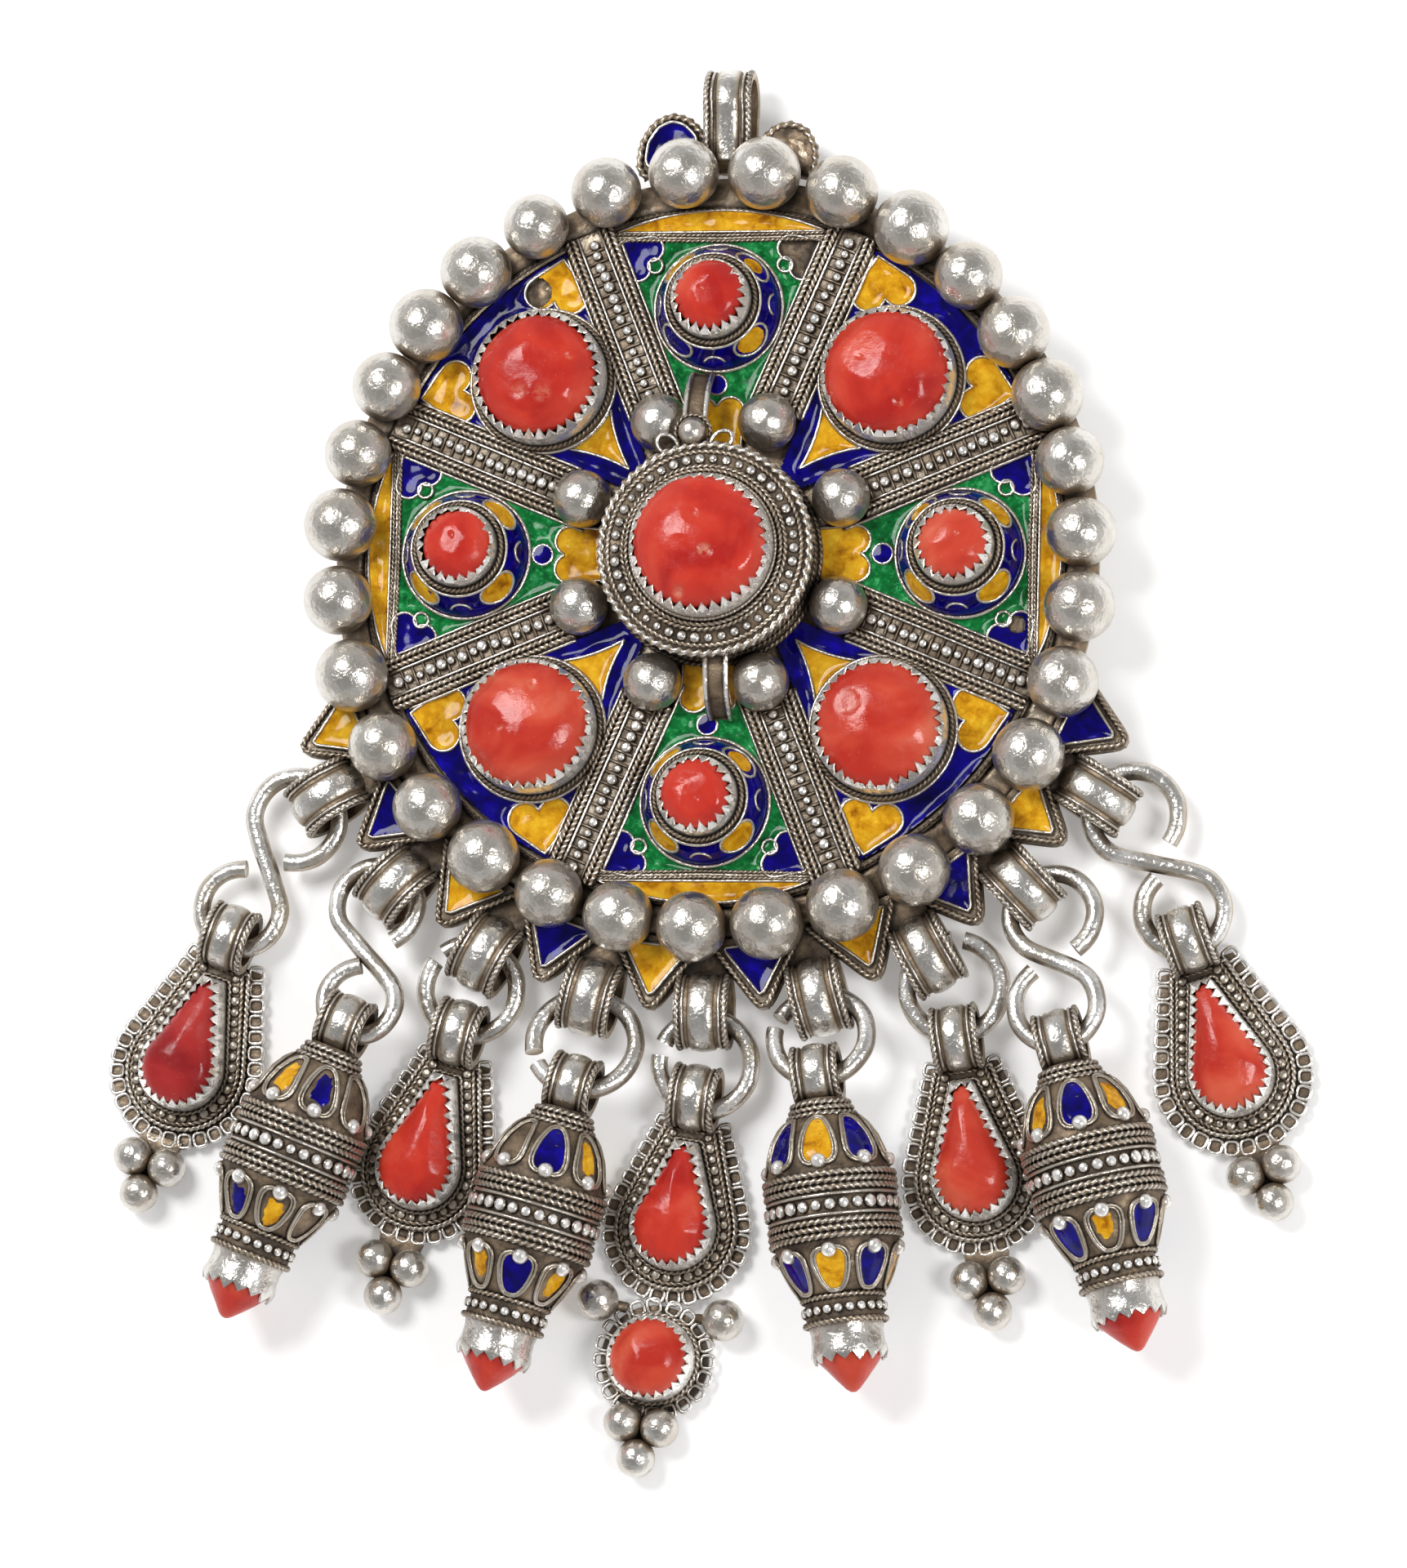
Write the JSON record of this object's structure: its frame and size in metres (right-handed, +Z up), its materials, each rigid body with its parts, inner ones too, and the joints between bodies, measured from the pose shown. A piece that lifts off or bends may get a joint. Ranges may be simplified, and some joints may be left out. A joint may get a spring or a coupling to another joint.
{
  "type": "round fibula brooch with hanging drops",
  "caption": "Round enamelled silver brooch set with coral, ringed by balls, with a suspension bail and hooks and rings that carry teardrop and barrel drops.",
  "frame": {"origin": "on the surface it lies on, under the middle of the whole piece", "axes": "+Z up out of the brooch's face, +Y from the drops to the suspension bail, +X to the viewer's right"},
  "size_m": [0.1122, 0.131, 0.0163],
  "materials": {
    "silver": "worn satin silver with brown tarnish in the recesses",
    "enamel_blue": "deep glossy blue enamel",
    "enamel_green": "mottled glossy green enamel",
    "enamel_yellow": "glossy amber yellow enamel",
    "coral": "polished red coral with pits and scratches"
  },
  "bodies": {
    "root": {"disc": "silver", "back_rim": "silver", "radial_strips": "silver", "top_bail": "silver", "lower_bails": "silver", "stone_settings": "silver", "inner_balls": "silver", "border_balls": "silver", "centre_boss": "silver", "back_pin": "silver", "hook_1": "silver", "hook_2": "silver", "hook_8": "silver", "hook_9": "silver", "ring_3": "silver", "ring_4": "silver", "ring_5": "silver", "ring_6": "silver", "ring_7": "silver", "drop_1": "silver", "drop_2": "silver", "drop_3": "silver", "drop_4": "silver", "drop_5": "silver", "drop_6": "silver", "drop_7": "silver", "drop_8": "silver", "drop_9": "silver", "coral_centre": "coral", "coral_large_1": "coral", "coral_large_2": "coral", "coral_large_3": "coral", "coral_large_4": "coral", "coral_small_1": "coral", "coral_small_2": "coral", "coral_small_3": "coral", "coral_small_4": "coral", "drop_coral_1": "coral", "drop_coral_2": "coral", "drop_coral_3": "coral", "drop_coral_4": "coral", "drop_coral_5": "coral", "drop_coral_6": "coral", "drop_coral_7": "coral", "drop_coral_8": "coral", "drop_coral_9": "coral", "drop_coral_round": "coral", "enamel_blue": "enamel_blue", "barrel_enamel_blue": "enamel_blue", "enamel_green": "enamel_green", "enamel_yellow": "enamel_yellow", "barrel_enamel_yellow": "enamel_yellow"}
  },
  "joints": []
}
